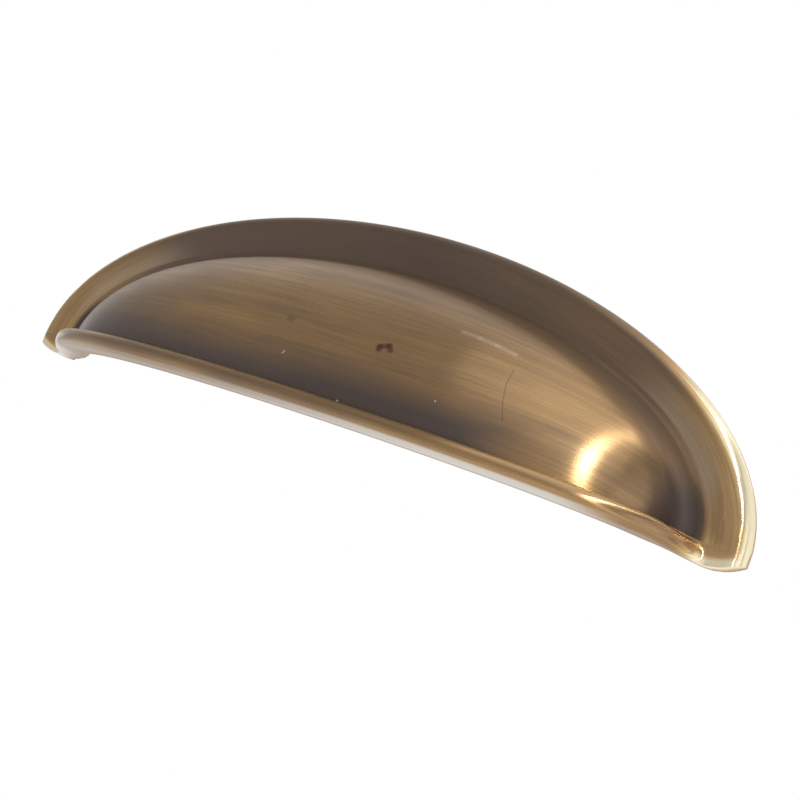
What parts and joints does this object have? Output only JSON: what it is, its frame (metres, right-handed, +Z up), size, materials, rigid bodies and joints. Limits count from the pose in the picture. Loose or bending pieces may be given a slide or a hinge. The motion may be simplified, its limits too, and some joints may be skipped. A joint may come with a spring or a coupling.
{
  "type": "cup pull",
  "caption": "Cast cup pull with a half-oval backplate, a hollow rounded hood and a beaded lip, fixed from behind into tapped posts.",
  "frame": {"origin": "on the back face, midway between the two tapped holes", "axes": "+X along the pull to the viewer's right, +Y into the drawer front, +Z up; the hood faces -Y and opens downwards"},
  "size_m": [0.1048, 0.0222, 0.029],
  "materials": {
    "antique_brass": "brushed antique bronze-brown, clear lacquer"
  },
  "bodies": {
    "root": {"cup_pull": "antique_brass"}
  },
  "joints": []
}
